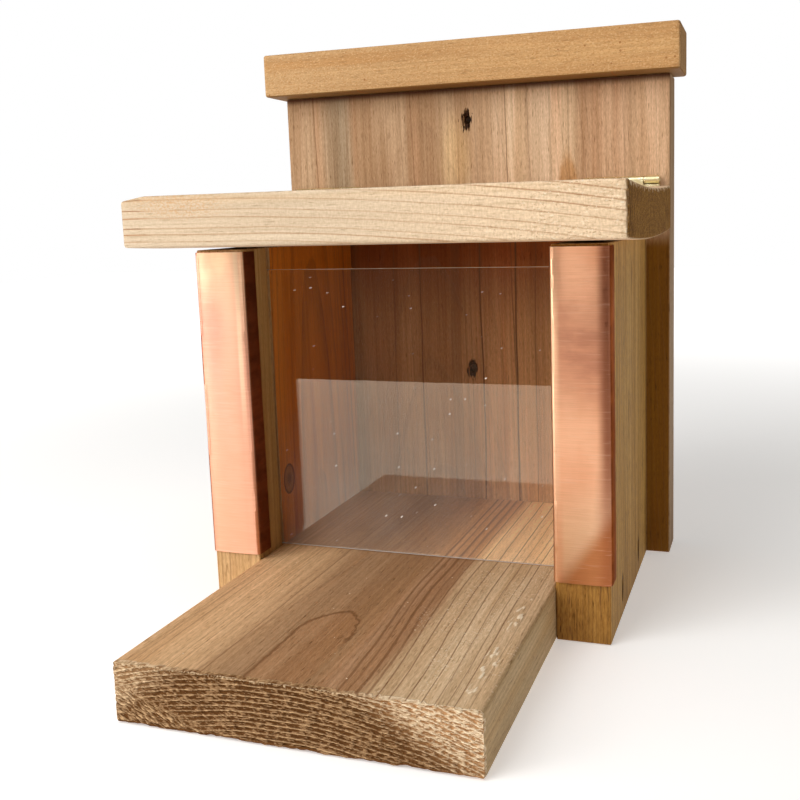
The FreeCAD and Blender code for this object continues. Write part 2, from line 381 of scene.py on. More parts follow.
def ease_edges(arris, segments=3, test=lambda edge: True):
    """Rounds every sharp edge of the piece in edit mode, or those of them that pass a test."""
    pick("edges", lambda edge: edge.calc_face_angle(0) > math.radians(40) and test(edge))
    bpy.ops.mesh.bevel(offset=arris, segments=segments, affect="EDGES")


def slice_up(slices):
    """Cuts the piece in edit mode into slices along X, Y and Z, and leaves edit mode."""
    for axis, count in enumerate(slices):
        slice_along(axis, count)
    set_mode("OBJECT")


def refine(test, cuts):
    """Cuts those faces of the piece that pass a test into smaller ones, for fine torn detail."""
    set_mode("EDIT")
    pick("faces", test)
    bpy.ops.mesh.subdivide(number_cuts=cuts)
    set_mode("OBJECT")


def mark(piece, name, weigh):
    """Names the points that a weight from 0 to 1 picks, for a modifier that works on them alone."""
    group = piece.vertex_groups.new(name=name)
    for point in piece.data.vertices:
        weight = weigh(point.co)
        if weight > 0:
            group.add([point.index], min(1.0, weight), "REPLACE")
    return name


def displace(piece, texture, depth, direction, where, level, guide=None):
    """Moves the surface by a texture's value, along an axis or the normal."""
    texture.use_clamp = True
    worn = piece.modifiers.new("worn", "DISPLACE")
    worn.texture = texture
    worn.texture_coords = "OBJECT" if guide else "LOCAL"
    worn.texture_coords_object = guide
    worn.direction = direction
    worn.vertex_group = where
    worn.strength = depth
    worn.mid_level = level
    bpy.context.view_layer.objects.active = piece
    bpy.ops.object.modifier_apply(modifier="worn")
    bpy.data.textures.remove(texture)
    if guide:
        bpy.data.objects.remove(guide)


def wear(piece, size, depth, direction="NORMAL", where="", level=1.0, crisp=(1, 1), guide=None):
    """Moves the surface in lumps of a size, soft or crisp. At level 1 it only wears inwards."""
    lumps = bpy.data.textures.new("lumps", "CLOUDS")
    lumps.noise_scale = size
    lumps.noise_depth = 3
    lumps.contrast, lumps.intensity = crisp
    displace(piece, lumps, depth, direction, where, level, guide)


def add_guide(place, scale, turn=0.0):
    """An empty by which the next texture is centred, stretched or turned about Y."""
    bpy.ops.object.empty_add(location=place, rotation=(0, turn, 0))
    bpy.context.object.scale = scale
    bpy.context.view_layer.update()
    return bpy.context.object


def finish_piece(piece, material, body, node, angle=30):
    """Gives a new piece its finish, and lets it stand for its CAD node."""
    bpy.ops.object.select_all(action="DESELECT")
    piece.select_set(True)
    bpy.context.view_layer.objects.active = piece
    bpy.ops.object.shade_smooth_by_angle(angle=math.radians(angle))
    piece.data.materials.clear()
    piece.data.materials.append(material)
    piece.vertex_groups.clear()
    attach(piece, body)
    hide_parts(node)


floor_low, floor_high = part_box("floor_board")
arris = 0.8 * MM
right_arris = 1.8 * MM
sawn_arris = 0.25 * MM
floor_board = start_box("floor_and_platform", floor_low, floor_high)
ease_edges(right_arris, 4, lambda edge: all(end.co.x > 0 and end.co.z > 10 * MM for end in edge.verts))
ease_edges(arris, 3, lambda edge: any(end.co.y > floor_low.y + 1 * MM for end in edge.verts))
ease_edges(sawn_arris, 2, lambda edge: all(end.co.y < floor_low.y + 0.01 * MM for end in edge.verts))
for x in (floor_low.x + arris, floor_high.x - right_arris):
    bpy.ops.mesh.select_all(action="SELECT")
    bpy.ops.mesh.bisect(plane_co=(x, 0, 0), plane_no=(1, 0, 0))
for z in (floor_low.z + arris, floor_high.z - right_arris, floor_high.z - arris):
    bpy.ops.mesh.select_all(action="SELECT")
    bpy.ops.mesh.bisect(plane_co=(0, 0, z), plane_no=(0, 0, 1))
slice_up((150, 84, 30))
refine(lambda face: face.normal.y < -0.95, 2)
refine(lambda face: min(point.co.x for point in face.verts) > 50 * MM and face.normal.z > 0.3
       and face.calc_center_median().y < -18 * MM, 1)
wear(floor_board, 40 * MM, 0.15 * MM)
planed = [point.co.copy() for point in floor_board.data.vertices]
ring_spacing = 1.9 * MM
ring_period = math.pi / 10
heart = add_guide((-5 * MM, floor_low.y, -190 * MM), [ring_spacing / ring_period] * 3)
rings = bpy.data.textures.new("rings", "WOOD")
rings.wood_type = "RINGNOISE"
rings.noise_basis = "IMPROVED_PERLIN"
rings.noise_scale = 3.5
rings.turbulence = 5
rings.contrast, rings.intensity = 3, 1.9


def ring_relief(co):
    """The rings stand out on the front end, but not along its lower edge or at its lower left."""
    above = (co.z - floor_low.z) / (2.5 * MM)
    return min(above, 1 - 0.85 * at_lower_left(co)) if co.y < floor_low.y + sawn_arris else 0


def between_ridges(co):
    """How torn the end is: only between its ridges."""
    return (co.y - floor_low.y - 0.05 * MM) / (0.12 * MM) if co.y < floor_low.y + 0.4 * MM else 0


def at_lower_left(co):
    """How near a point of the front end is to the corner where it is torn in slanting streaks."""
    return min(1.0, max(0.0, (-26 * MM - co.x - 3.0 * (co.z - 3 * MM)) / (14 * MM)))


def torn_left(co):
    return 0.9 * at_lower_left(co) if co.y < floor_low.y + 0.4 * MM else 0


def torn_right(co):
    return min(1, between_ridges(co)) * (1 - at_lower_left(co))


displace(floor_board, rings, 0.22 * MM, "Y", mark(floor_board, "rings", ring_relief), 0, heart)
on_left = mark(floor_board, "torn_left", torn_left)
on_right = mark(floor_board, "torn_right", torn_right)
for torn, fall, size, stretched in ((on_left, 28, 0.6 * MM, 4.5), (on_right, 4, 0.52 * MM, 3.4)):
    grain_guide = add_guide((0, 0, 0), (stretched, 1, 1), math.radians(fall))
    wear(floor_board, size, 0.6 * MM, "Y", torn, 0, (3.5, 0.88), grain_guide)
low_front = floor_low + Vector((0, 2.5, 1.2)) * MM
on_low_front = mark(floor_board, "low_front", lambda co: co.y < low_front.y and co.z < low_front.z)
wear(floor_board, 5 * MM, 1.6 * MM, "Z", on_low_front, 0.15)
high_front = Vector((0, floor_low.y + 0.6 * MM, floor_high.z - 0.5 * MM))
on_high_front = mark(floor_board, "high_front", lambda co: co.y < high_front.y and co.z > high_front.z)
wear(floor_board, 0.8 * MM, 0.3 * MM, "Z", on_high_front, 0.8)


def near_right_edge(co):
    """Where splinters have lifted: along the right edge of the platform, and most at the edge."""
    if co.z < floor_high.z - 2.2 * MM or not -112 * MM < co.y < -30 * MM:
        return 0
    patch = 0.4 + 0.6 * abs(math.sin(co.y / (11 * MM)))
    return patch * max(0.0, 1 - abs(co.x - 62.5 * MM) / (5 * MM))


grain_guide = add_guide((0, 0, 0), (0.8, 4.5, 1))
lifted = mark(floor_board, "right_edge", near_right_edge)
wear(floor_board, 1 * MM, 0.6 * MM, "NORMAL", lifted, 0, (5, 0.55), grain_guide)
depth = floor_board.data.attributes.new("depth", "FLOAT", "POINT")
for point, start, torn in zip(floor_board.data.vertices, planed, depth.data):
    moved = (point.co - start).length / MM
    torn.value = moved if start.y < floor_low.y + 0.3 * MM else -moved
floor_cedar, shader, place, facing, wood = start_cedar(
    "floor_cedar", "Y", Seed=1, Heart=(-0.01, -0.277, 0), Lean=(0, -0.0085, 0), Ring=0.95 * MM,
    Drift=0.45 * MM, Crisp=0.84, Fibre=1.4, Band=0.12, End_Torn=1.5, End_Ridge=0,
    Latewood=(0.17, 0.075, 0.03),
)
front = floor_low.y / MM
top = floor_high.z / MM
x, z, y = measure(place)
facing_x, facing_z, facing_y = axes(facing)
flat = ramp(abs(facing_z), 0.5, 0.8) * ramp(y, front + 0.6, front + 1.2)
across = x + waver(place, 60, 9)
pale = paint(
    (0.4, 0.235, 0.12), (ramp(across, -20, -52), (0.72, 0.46, 0.245)),
    (ramp(across, 6, 14), (0.445, 0.255, 0.135)), (ramp(across, 24, 33), (0.69, 0.5, 0.305)),
)
# Behind the pane the board is painted darker on the left and paler on the right: painted shade from the
# left panel and painted light from the lamps on the left
painted_shade_and_light_inside = mix(ramp(x, -45, 35), (0.6, 0.5, 0.42), (1.95, 1.85, 1.6))
pale = mix(ramp(y, 6, 10), pale, tint(pale, painted_shade_and_light_inside))
# The year lines bend to the right towards the front, and close up on the right
bend = 6 * ramp(y, -20, -120) * ramp(x, -5, 14) * ramp(x, 76, 30)
lines = growth_lines(x - bend + waver(place, 110, 1.3), (
    (-63.6, 0.1, 0.45), (-60, 0.2, 0.45), (-51.4, 0.1, 0.4), (-48.9, 0.1, 0.45), (-45.8, 0.15, 0.5),
    (-34, 0.2, 0.7), (-20, 0.2, 0.3), (12.8, 0.5, 0.65), (16, 0.4, 0.55), (19.8, 0.6, 0.7),
    (23.5, 0.5, 0.55), (27.2, 0.25, 0.8), (32, 0.2, 0.9), (38.3, 0.2, 0.95), (44.8, 0.2, 0.95),
    (50.1, 0.15, 0.85), (54.8, 0.15, 0.85), (58.1, 0.2, 0.95), (64.3, 0.15, 0.6),
))
# One ring crosses the surface as an arch, open to the front, with ragged shoulders
ragged = mottle(place, 420, 3, (1, 1, 0.5)) - 0.5
aside = larger((x + 4) / 9.5, (x + 4) / -13.5)
ahead = larger(y + 78, 0.0) / 18
out = (aside ** 1.6 + ahead ** 1.6) ** 0.625
out = ragged * ramp(x, -8, 4, 0.15, 0.5) + out
shown = larger(ramp(x, 0.0, -8), ramp(y, -96, -82))
lines = larger(lines, 0.82 * between(out, 0.93, 1.04, 0.06) * shown)
side_on = ramp(abs(facing_x), 0.3, 0.8)
pale = paint(pale, (ramp(out, 0.9, 1.02, 0.35, 0), (0.46, 0.235, 0.11)), (side_on, (0.6, 0.43, 0.23)))
feed(wood, Line=ramp(across, -30, 20, 0.22, 0.14))
feed(wood, Pale=pale, Deep=tint(pale, (0.86, 0.8, 0.74)), Stain=tint(pale, (0.9, 0.82, 0.72)))
# The end is palest on the right and at the upper left
right_third = ramp(1.6 * z + x, 50, 85)
upper_left = ramp(x - 1.5 * z, -70, -95)
end_pale = mix(upper_left, (0.6, 0.375, 0.19), (0.98, 0.74, 0.47))
end_deep = mix(upper_left, (0.13, 0.05, 0.013), (0.36, 0.2, 0.09))
feed(wood, End_Pale=mix(right_third, end_pale, (1.0, 0.83, 0.58)),
     End_Deep=mix(right_third, end_deep, (0.48, 0.245, 0.1)), End_Level=ramp(right_third, 0, 1, 0.95, 1.15))
# Fuzz and splinters on the right, and a pale rim where the saw broke through
furry = ramp(across, 20, 30) * ramp(mottle(place, 90, 2, (1, 1, 0.3)), 0.5, 0.62)
crumb = ramp(add_node("Attribute", attribute_name="depth").outputs["Fac"], -0.12, -0.3)
fuzz = specks(x, y, 0.9, 0.32, 0.4) * furry
fuzz = larger(0.4 * fuzz, specks(x, y, 0.33, 0.07, 0.025))
fuzz = larger(fuzz, 0.95 * crumb) * flat
rim = 4 * (mottle(place, 1200, 2) - 0.5) + z
rim = 0.55 * ramp(rim, top - 0.7, top - 0.2) * ramp(abs(facing_y), 0.3, 0.6)
finish_cedar(shader, wood, paint(
    wood.outputs["Color"], (lines * flat, (0.17, 0.07, 0.024)), (fuzz, (0.9, 0.76, 0.56)),
    (rim, (0.85, 0.64, 0.4)),
), 0.35 * MM)
finish_piece(floor_board, floor_cedar, "box", "floor_board")

# Side panels: two upright cedar boards that stand beside the floor board and are nailed to it.
# Each has a saw groove down its inner face for the pane, and low down on its outer face the
# wood is torn round the nails.
groove_setback = 21.3 * MM
groove_width = 3.2 * MM
groove_depth = 6 * MM
nail_rows = (16.55 * MM, 68.25 * MM)
nail_height = 11.75 * MM
outer_face = 93.5


def saw_board(name, node, arris, slices, size=50 * MM):
    """A board as large as its CAD node, with eased edges and faces that are a little uneven."""
    low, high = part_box(node)
    board = start_box(name, low, high)
    ease_edges(arris)
    slice_up(slices)
    wear(board, size, 0.15 * MM)
    return board, low, high


def cut_away(piece, cutter):
    """Cuts one piece's shape out of another, and takes the cutter away."""
    if bpy.context.object.mode == "EDIT":
        set_mode("OBJECT")
    bpy.ops.object.select_all(action="DESELECT")
    bpy.context.view_layer.objects.active = piece
    cut = piece.modifiers.new("cut", "BOOLEAN")
    cut.object = cutter
    cut.solver = "EXACT"
    bpy.ops.object.modifier_apply(modifier="cut")
    bpy.data.objects.remove(cutter)


def tear_out(piece, place, size, axis="Z"):
    """Tears a ragged slit with pointed ends out of a piece."""
    slit = start_piece("slit", bpy.ops.mesh.primitive_ico_sphere_add, subdivisions=4, radius=1,
                       location=place, scale=size)
    set_mode("OBJECT")
    wear(slit, 1.4 * MM, 1.0 * MM, axis, level=0.5)
    cut_away(piece, slit)


def spot(place, centre, size, soft=0.3):
    """1 inside an oval of a size in mm round a centre, and 0 outside it, with a soft edge."""
    near = take("VectorMath", {0: place, 1: Vector(centre) * MM}, operation="SUBTRACT")
    near = take("VectorMath", {0: near, 1: Vector(size) * MM}, operation="DIVIDE")
    distance = take("VectorMath", {0: near}, "Value", operation="LENGTH")
    return ramp(distance, 1 + soft, 1 - soft)


def make_side_panel(name, side, node, material):
    """A side panel with its groove and torn nail places. Side is -1 for the left, 1 for the right."""
    panel, low, high = saw_board(name, node, arris, (10, 50, 70))
    inner = low.x if side > 0 else high.x
    front = low.y + groove_setback
    cut_away(panel, start_box("groove", Vector((inner - groove_depth, front, low.z - 1 * MM)),
                              Vector((inner + groove_depth, front + groove_width, high.z + 1 * MM))))
    outer = high.x if side > 0 else low.x
    for y in nail_rows:
        tear_out(panel, (outer, y, nail_height), (2.2 * MM, 1.5 * MM, 5.5 * MM))
        tear_out(panel, (outer, y + 1.4 * MM, nail_height + 3 * MM), (1.4 * MM, 0.6 * MM, 4.2 * MM))
    finish_piece(panel, material, "box", node)


def darken_tears(place, colour, outer_x):
    """The torn wood round the nails is dark."""
    for y in nail_rows:
        torn = spot(place, (outer_x, y / MM, nail_height / MM + 1), (4, 1.9, 7))
        colour = mix(torn, colour, (0.07, 0.03, 0.012))
    return colour


left_cedar, shader, place, facing, wood = start_cedar(
    "left_panel_cedar", "Z", Seed=4, Heart=(0.03, 0.05, 0), Lean=(0.02, 0.01, 0), Ring=1.9 * MM,
    Drift=2.5 * MM, Crisp=0.5, Line=0.5, Fibre=1.1, Latewood=(0.2, 0.07, 0.015), End_Pale=(0.6, 0.38, 0.18),
)
# The inner face is painted darker, and a deep warm orange behind the pane: painted shade inside the box
inwards = ramp(axes(facing)[0], 0.3, 0.7)
painted_shade_behind_pane = inwards * ramp(measure(place)[1], 6, 8)
pale = paint((0.62, 0.38, 0.18), (inwards, (0.5, 0.32, 0.13)), (painted_shade_behind_pane, (0.66, 0.225, 0.028)))
feed(wood, Pale=pale, Deep=tint(pale, (0.85, 0.8, 0.7)), Stain=tint(pale, (0.8, 0.68, 0.55)))
# A knot inside, with its dark rim, its heart and its eye
colour = wood.outputs["Color"]
for wide, tall, soft, shade in (
    (5.6, 7.6, 0.06, (0.09, 0.025, 0.006)),
    (4.6, 6.5, 0.12, (0.3, 0.1, 0.025)),
    (2.2, 3.0, 0.4, (0.16, 0.05, 0.012)),
):
    knot = spot(place, (-70, 17.4, 53.4), (8, wide, tall), soft)
    colour = mix(knot, colour, shade)
finish_cedar(shader, wood, darken_tears(place, colour, -outer_face))
make_side_panel("left_side_board", -1, "left_side_panel", left_cedar)
right_cedar, shader, place, facing, wood = start_cedar(
    "right_panel_cedar", "Z", Seed=7, Heart=(0.25, -0.06, 0), Lean=(0.01, 0.01, 0), Ring=2 * MM,
    Drift=2.5 * MM, Crisp=0.45, Line=0.55, Fibre=2.1, Latewood=(0.22, 0.1, 0.025),
    End_Pale=(0.6, 0.38, 0.18),
)
# The front face is painted darker: the platform's painted shadow on the panel's foot
forwards = ramp(axes(facing)[1], -0.3, -0.7)
pale = mix(forwards, (0.59, 0.34, 0.095), (0.37, 0.175, 0.037))
feed(wood, Pale=pale, Deep=tint(pale, (0.87, 0.82, 0.74)), Stain=tint(pale, (0.76, 0.66, 0.54)))
lines = growth_lines(measure(place)[1] + waver(place, 60, 6), (
    (-6, 0.3, 0.4), (9, 0.2, 0.3), (24, 0.5, 0.45), (31, 0.3, 0.5), (47, 0.3, 0.35), (58, 0.6, 0.5),
    (70, 0.3, 0.55), (86, 0.4, 0.5), (95, 0.3, 0.5), (101, 3.5, 0.5),
))
dash = ramp(mottle(place, 420, 3, (1, 1, 0.12), (2, 6, 1)), 0.62, 0.7)
lines = larger(lines, 0.7 * dash)
colour = mix(lines, wood.outputs["Color"], (0.15, 0.06, 0.018))
finish_cedar(shader, wood, darken_tears(place, colour, outer_face))
make_side_panel("right_side_board", 1, "right_side_panel", right_cedar)

# Back board: one upright cedar board behind the box, wider and taller than it. Two holes on its
# centre line hang the box. The drill has torn the grain at their mouths.
hang_heights = (229.2 * MM, 96.0 * MM)
hang_radius = 2.2 * MM
back_board, back_low, back_high = saw_board("back_of_cedar", "back_board", arris, (84, 8, 98))


def drill(piece, place, radius, depth, turn):
    """Drills a round hole along an axis, half its depth to each side of a place."""
    cut_away(piece, start_piece("bit", bpy.ops.mesh.primitive_cylinder_add, vertices=40, radius=radius,
                                depth=depth, location=place, rotation=turn))


def fray(place, scale, squeeze):
    """Moves a place to and fro, so that what is drawn there has a ragged edge along the grain."""
    shift = 9 * MM * (mottle(place, scale, 3, (1, 1, squeeze)) - 0.5)
    return take("VectorMath", {0: place, 1: take("CombineXYZ", {0: shift, 2: shift})})


ALONG_Y = (math.radians(90), 0, 0)
hang_tears = ((-0.6, 0.3, 1.3, 6.0), (-2.1, -0.6, 0.7, 3.8), (0.9, -3.0, 0.6, 3.2), (0.7, 3.0, 0.6, 2.8))
for height in hang_heights:
    drill(back_board, (0, (back_low.y + back_high.y) / 2, height), hang_radius, 30 * MM, ALONG_Y)
    for x, z, half_width, half_length in hang_tears:
        slit_size = (half_width * MM, 1.6 * MM, half_length * MM)
        tear_out(back_board, (x * MM, back_low.y, height + z * MM), slit_size)
nail_head_radius = 1.65 * MM
nail_head_depth = 1.3 * MM
nail_places = [(side * 81.75 * MM, z * MM) for side in (-1, 1) for z in (45.0, 95.1, 145.2)]
nail_places += [(side * 45 * MM, 11.75 * MM) for side in (-1, 1)]
for x, z in nail_places:
    drill(back_board, (x, back_high.y, z), nail_head_radius, 2 * nail_head_depth, ALONG_Y)
back_cedar, shader, place, facing, wood = start_cedar(
    "back_cedar", "Z", Seed=2, Heart=(-0.02, 0.4, 0), Lean=(-0.024, 0.02, 0), Ring=1.1 * MM,
    Drift=1.2 * MM, Crisp=0.8, Line=0.25, Fibre=1.5, Band=0.07, Latewood=(0.24, 0.12, 0.06),
    End_Pale=(0.6, 0.4, 0.22),
)
front = back_low.y / MM
x, y, z = measure(place)
leaning = 0.024 * (z - 230) + x
across = leaning + waver(place, 50, 7)
sunned = spot(place, (-7, front, 210), (7.5, 40, 19), 0.6)
flame = spot(fray(place, 300, 0.3), (54, front, 189), (5.5, 40, 20), 0.3)
forwards = ramp(axes(facing)[1], -0.5, -0.9)
# Beside the box, low on the front face: the box's painted shadow
painted_shadow_beside_box = ramp(x, 92, 94) * ramp(z, 172, 160) * forwards
pale = paint(
    (0.52, 0.335, 0.195),
    (ramp(across, -4, 10), (0.7, 0.485, 0.31)),
    (between(across, -82, -68, 6), (0.41, 0.295, 0.185)),
    (between(across, 20.5, 31, 1), (0.79, 0.57, 0.37)),
    (between(across, 44, 57, 1), (0.82, 0.6, 0.4)),
    (between(across, 60, 84, 3), (0.61, 0.375, 0.22)),
    (ramp(across, 84, 90), (0.73, 0.475, 0.29)),
    (sunned, (0.65, 0.43, 0.225)),
    (flame, (0.64, 0.37, 0.175)),
    (painted_shadow_beside_box, (0.25, 0.1, 0.008)),
    (ramp(x, 104.6, 105.2), (0.42, 0.27, 0.15)),
)
# Inside the box the wood is painted warmer low down and darkest under the lid: painted shade from the lid,
# and warm bounced light below it
inside = between(x, -71, 71, 1) * ramp(z, 170, 164)
inside = inside * ramp(y, front + 4, front + 2)
kept = mix(ramp(z, 110, 165), (1.08, 0.84, 0.6), (0.54, 0.21, 0.075))
pale = mix(inside, pale, kept, "MULTIPLY")
feed(wood, Pale=pale, Deep=tint(pale, (0.8, 0.73, 0.66)), Stain=tint(pale, (0.86, 0.74, 0.66)))
lines = growth_lines(leaning + waver(place, 70, 2.5), (
    (-89, 0.3, 0.55), (-83.5, 0.2, 0.3), (-78.5, 0.2, 0.35), (-70, 0.2, 0.35), (-38, 0.2, 0.3),
    (-31.5, 0.2, 0.45), (-6.2, 0.2, 0.4), (4, 0.15, 0.45), (13, 0.15, 0.3), (20.8, 0.25, 0.75),
    (32.8, 0.2, 0.55), (44.3, 0.2, 0.55), (54, 0.25, 0.6), (66, 0.15, 0.3), (82, 0.25, 0.45),
    (98.2, 0.2, 0.35),
))
within = growth_lines(x + waver(place, 40, 4), (
    (-45, 0.3, 0.6), (-29.5, 0.4, 0.85), (-9.2, 2.6, 0.3), (-0.5, 0.2, 0.5), (5.3, 0.4, 1), (24.8, 0.45, 1),
    (35.7, 0.3, 0.7),
))
lines = larger(lines * ramp(x, 22, 40, 1, 0.6), within * inside)
# A painted shadow right under the cap's overhang
painted_shadow_under_cap = 0.92 * forwards * ramp(z, 241.5, 245.5)
colour = paint(wood.outputs["Color"], (lines, (0.17, 0.07, 0.026)), (painted_shadow_under_cap, (0.055, 0.008, 0.0)))
ragged = fray(place, 900, 0.22)
for height in hang_heights:
    torn = spot(ragged, (-0.5, front, height / MM), (2.4, 6, 5.4), 0.15)
    colour = mix(torn, colour, (0.035, 0.012, 0.005))
finish_cedar(shader, wood, colour)
finish_piece(back_board, back_cedar, "box", "back_board")

# Cap strip: a planed cedar strip nailed down on the back board's top edge, flush behind and
# overhanging its front and both ends. Its edges are rounded over.
cap, _, cap_high = saw_board("cap_strip", "top_cap", 1.4 * MM, (110, 16, 12), 40 * MM)
for x in (-80.5, -26.83, 26.83, 80.5):
    drill(cap, (x * MM, 111.75 * MM, cap_high.z), nail_head_radius, 2 * nail_head_depth, (0, 0, 0))
cap_cedar, shader, place, facing, wood = start_cedar(
    "cap_cedar", "X", Seed=3, Heart=(-0.12, 0.3, 0), Lean=(0.01, 0, 0), Ring=2.2 * MM, Drift=3 * MM,
    Crisp=0.6, Line=0.14, Fibre=0.9, Stain=(0.52, 0.28, 0.11), Latewood=(0.4, 0.2, 0.07),
    End_Pale=(0.62, 0.38, 0.17), End_Deep=(0.3, 0.15, 0.055),
)
_, z, x = measure(place)
pale = mix(ramp(x, -100, 100), (0.55, 0.33, 0.152), (0.64, 0.37, 0.157))
feed(wood, Pale=pale, Deep=tint(pale, (0.91, 0.87, 0.84)))
freckle = ramp(mottle(place, 1300, 3, (1, 1, 0.7)), 0.53, 0.63)
glint = ramp(mottle(place, 1500, 3, (1, 1, 0.6), (7, 2, 5)), 0.55, 0.66)
# Faces turned down are painted dark: painted shade under the cap
down = ramp(axes(facing)[1], -0.25, -0.75)
finish_cedar(shader, wood, paint(
    wood.outputs["Color"],
    (0.5 * freckle, (0.46, 0.2, 0.055)),
    (0.45 * glint, (0.78, 0.53, 0.28)),
    (0.8 * down, (0.17, 0.075, 0.015)),
    (0.7 * specks(x, z, 0.23, 0.1, 0.1), (0.34, 0.12, 0.03)),
))
finish_piece(cap, cap_cedar, "box", "top_cap")

# Pane: a sheet of clear acrylic that stands loose in the two grooves. Its edges are sawn and so
# frosted, dust lies on it, and a painted milky haze low down stands in for the floor it mirrors.
pane_low, pane_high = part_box("window_pane")
pane = start_box("acrylic_pane", pane_low, pane_high)
ease_edges(0.2 * MM, 1)
set_mode("OBJECT")
acrylic, shader = new_material("clear_acrylic")
feed(shader, Base_Color=(0.99, 0.98, 0.96), Specular_Tint=(1.0, 0.8, 0.6), Roughness=0.0, IOR=1.7,
     Transmission_Weight=1.0)
clear = add_node("BsdfTransparent", {"Color": (0.95, 0.96, 0.96)})
ray = add_node("LightPath").outputs
lamp_ray = larger(ray["Is Shadow Ray"], ray["Is Diffuse Ray"])
sheet = add_node("MixShader", {0: lamp_ray, 1: shader.outputs[0], 2: clear.outputs[0]})
here = add_node("TexCoord").outputs
sawn = ramp(abs(axes(here["Normal"])[1]), 0.5, 0.9, 0.6, 0)
x, _, z = measure(here["Object"])
# A painted milky haze, thickest low down, stands in for the pale floor that the pane mirrors
painted_haze = ramp(mottle(here["Object"], 45, 4), 0.3, 0.7, 0.75, 1.25)
painted_haze = painted_haze * ramp(z, 25, 100, 0.06, 0.004)
dust_and_painted_haze = larger(sawn, strew(take("CombineXYZ", {0: x, 1: z}), 0.12, 0.028, 0.24))
dust_and_painted_haze = larger(dust_and_painted_haze, painted_haze)
frost = add_node("BsdfDiffuse", {"Color": (0.95, 0.88, 0.8)})
dusty_and_hazy = add_node("MixShader", {0: dust_and_painted_haze, 1: sheet.outputs[0], 2: frost.outputs[0]})
feed(tree.nodes["Material Output"], Surface=dusty_and_hazy.outputs[0])
finish_piece(pane, acrylic, "pane", "window_pane", 0)

# Copper channels: one strip of thin sheet copper folded round the front edge of each side panel
# and tacked, so that it can't be gnawed. It was brushed across before it was folded.
copper_gauge = 0.6 * MM
fold_radius = 1.6 * MM
crown = 0.6 * MM


def draw_out(across, back, up):
    """Draws the picked edges out into a new strip."""
    bpy.ops.mesh.extrude_region_move(TRANSFORM_OT_translate={"value": (across, back, up)})


def face_outward():
    bpy.ops.mesh.select_all(action="SELECT")
    bpy.ops.mesh.normals_make_consistent(inside=False)


def make_channel(name, node):
    """Folds a channel: one flange, the crowned front in steps, and the other flange."""
    low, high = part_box(node)
    middle = (low + high) / 2
    channel = start_piece(name, bpy.ops.mesh.primitive_plane_add, size=1,
                          location=(low.x, middle.y, middle.z), rotation=(0, math.radians(-90), 0),
                          scale=(high.z - low.z, high.y - low.y, 1))
    width = high.x - low.x
    steps = 16
    fold = Vector((low.x, low.y))

    def at_fold(edge):
        return all((Vector((end.co.x, end.co.y)) - fold).length < 1e-6 for end in edge.verts)

    pick("edges", at_fold)
    for step in range(1, steps + 1):
        share = step / steps
        proud = crown * (1 - (2 * share - 1) ** 4)
        goal = Vector((low.x + share * width, low.y - proud))
        draw_out(*(goal - fold), 0)
        fold = goal
    draw_out(0, high.y - low.y, 0)
    face_outward()
    ease_edges(fold_radius, 5)
    slice_along(2, 60)
    set_mode("OBJECT")
    wear(channel, 30 * MM, 0.3 * MM, level=0.5)
    gauge = channel.modifiers.new("gauge", "SOLIDIFY")
    gauge.thickness = copper_gauge
    gauge.offset = -1
    bpy.ops.object.modifier_apply(modifier="gauge")
    return channel


def finish_nodes(material, nodes):
    """Gives pieces that keep the CAD's shape their finish."""
    for node in nodes:
        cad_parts[node].material_slots[0].material = material


copper, shader = new_material("brushed_copper")
feed(shader, Metallic=1.0, Specular_Tint=(0.75, 0.42, 0.3))
here = add_node("TexCoord").outputs["Object"]
x, _, z = measure(here)
brushed = mottle(here, 2600, 3, (0.035, 0.035, 1))
scratch = ramp(mottle(here, 1400, 1, (0.06, 0.06, 1), (3, 1, 4)), 0.62, 0.72)
cloudy = mottle(here, 60, 3, (1, 1, 0.5))
patch = mottle(here, 160, 3, (0.5, 0.5, 1))
# A darker band across the middle, in patches: tarnish, and partly a painted reflection
tarnish_and_dark_reflection = 0.92 * between(z, 106, 144, 14) * ramp(patch, 0.35, 0.65, 0.65, 1)
# The left strip is pinker, and painted paler towards its top and near its inner fold: a painted reflection
# of the lamps
left_strip = ramp(x, 50, -50)
salmon = paint(
    (0.86, 0.425, 0.265), (ramp(z, 30, 130), (0.95, 0.445, 0.31)), (ramp(z, 115, 165), (1.0, 0.62, 0.37)),
    (ramp(cloudy, 0.45, 0.6, 0, 0.5), (0.84, 0.42, 0.27)),
)
near_fold = ramp(x, -85, -76) * ramp(z, 100, 150, 0.0, 0.42) * left_strip
painted_highlight_by_fold = between(x, -74.1, -71.9, 0.6) * ramp(z, 75, 120, 0.05, 0.9)
outer_rim = ramp(x, -93.8, -90.0, 0.9, 0) * left_strip
colour = paint(
    (0.99, 0.525, 0.31),
    (ramp(cloudy, 0.35, 0.65), (0.94, 0.46, 0.26)),
    (tarnish_and_dark_reflection, (0.59, 0.255, 0.15)),
    (left_strip, salmon),
    (near_fold, (1.0, 0.66, 0.43)),
    (painted_highlight_by_fold, (1.0, 0.7, 0.46)),
    (outer_rim, (0.8, 0.34, 0.22)),
)
rosy = spot(here, (-92, -20, 141), (13, 90, 21), 0.8)
colour = mix(rosy, colour, (0.96, 0.72, 0.78), "MULTIPLY")
